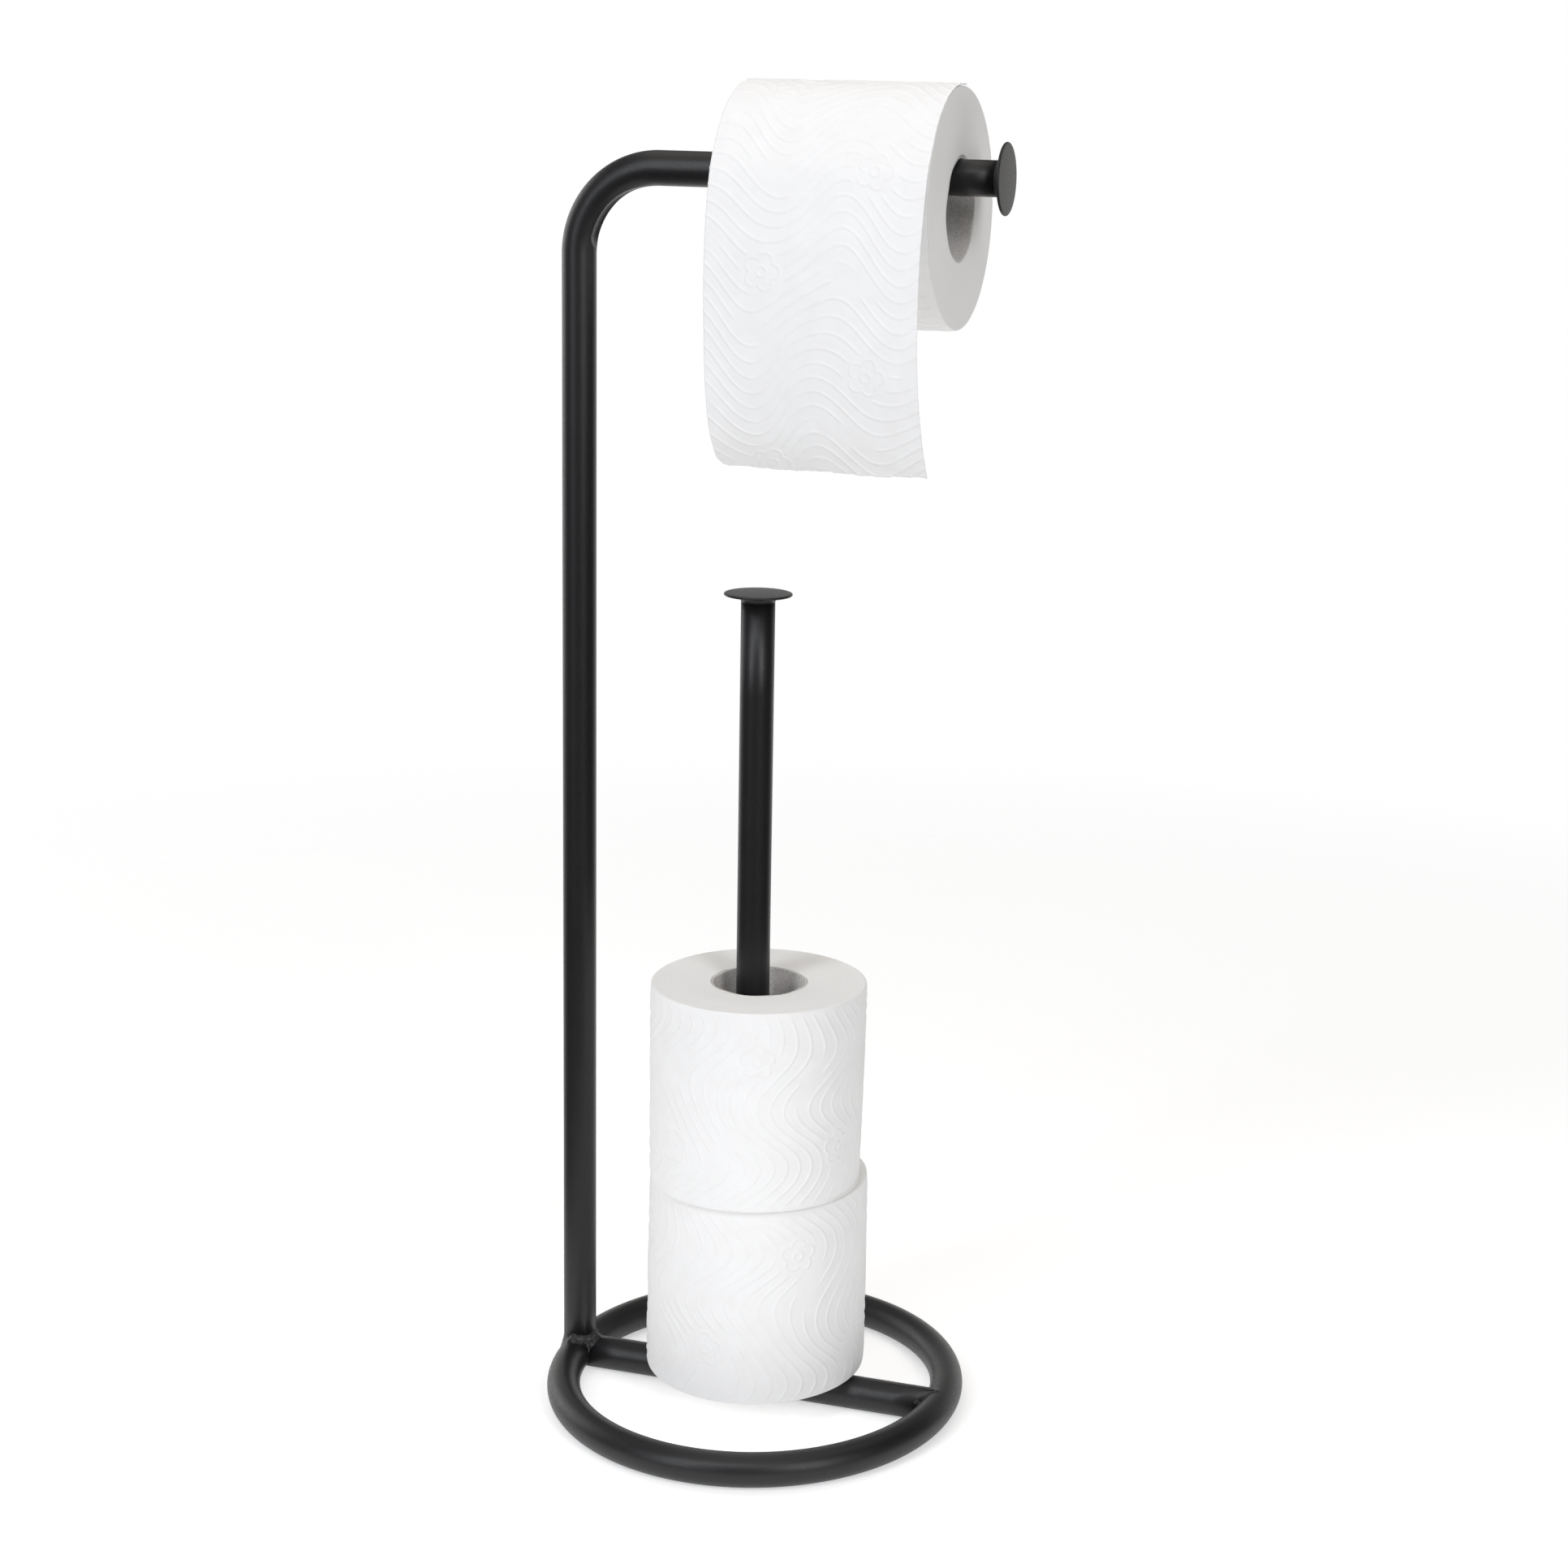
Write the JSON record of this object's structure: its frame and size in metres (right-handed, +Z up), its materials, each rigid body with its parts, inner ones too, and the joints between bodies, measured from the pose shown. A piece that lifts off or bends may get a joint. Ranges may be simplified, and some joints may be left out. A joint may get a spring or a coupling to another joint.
{
  "type": "toilet paper holder",
  "caption": "Free-standing black tube holder with a round base ring, an arm for the roll in use and a post for spare rolls, shown with its rolls.",
  "frame": {"origin": "centre of the base ring, on the floor that the ring rests on", "axes": "+Z up along the upright and the storage post, +X along the cross bar from the upright towards the arm's free end, and the sheet of paper hangs on the -Y side"},
  "size_m": [0.214, 0.205, 0.6341],
  "materials": {
    "black_powder_coat": "satin",
    "tissue_winding": "matte",
    "tissue_sheet": "matte",
    "grey_cardboard": "matte"
  },
  "bodies": {
    "stand": {"base_ring": "black_powder_coat", "cross_bar": "black_powder_coat", "upright_arm_tube": "black_powder_coat", "storage_post": "black_powder_coat", "upright_foot_weld": "black_powder_coat", "cross_bar_weld": "black_powder_coat", "post_foot_weld": "black_powder_coat", "arm_end_disc": "black_powder_coat", "arm_end_disc_weld": "black_powder_coat", "post_top_disc": "black_powder_coat", "post_top_disc_weld": "black_powder_coat"},
    "hanging_sheet": {"hanging_sheet": "tissue_sheet"},
    "hanging_roll": {"hanging_roll_paper": "tissue_winding", "hanging_roll_core": "grey_cardboard"},
    "lower_spare_roll": {"lower_spare_paper": "tissue_winding", "lower_spare_core": "grey_cardboard"},
    "upper_spare_roll": {"upper_spare_paper": "tissue_winding", "upper_spare_core": "grey_cardboard"}
  },
  "joints": [
    {"name": "hanging_roll_slide", "type": "slide", "parent": "stand", "child": "hanging_sheet", "axis": [1, 0, 0], "range_m": [-0.07, 0.013]},
    {"name": "hanging_roll_turn", "type": "hinge", "parent": "hanging_sheet", "child": "hanging_roll", "pos_m": [0.039, 0, 0.5798], "axis": [1, 0, 0], "continuous": true},
    {"name": "lower_spare_lift", "type": "slide", "parent": "stand", "child": "lower_spare_roll", "axis": [0, 0, 1], "range_m": [0, 0.02]},
    {"name": "upper_spare_lift", "type": "slide", "parent": "lower_spare_roll", "child": "upper_spare_roll", "axis": [0, 0, 1], "range_m": [0, 0.225]}
  ]
}
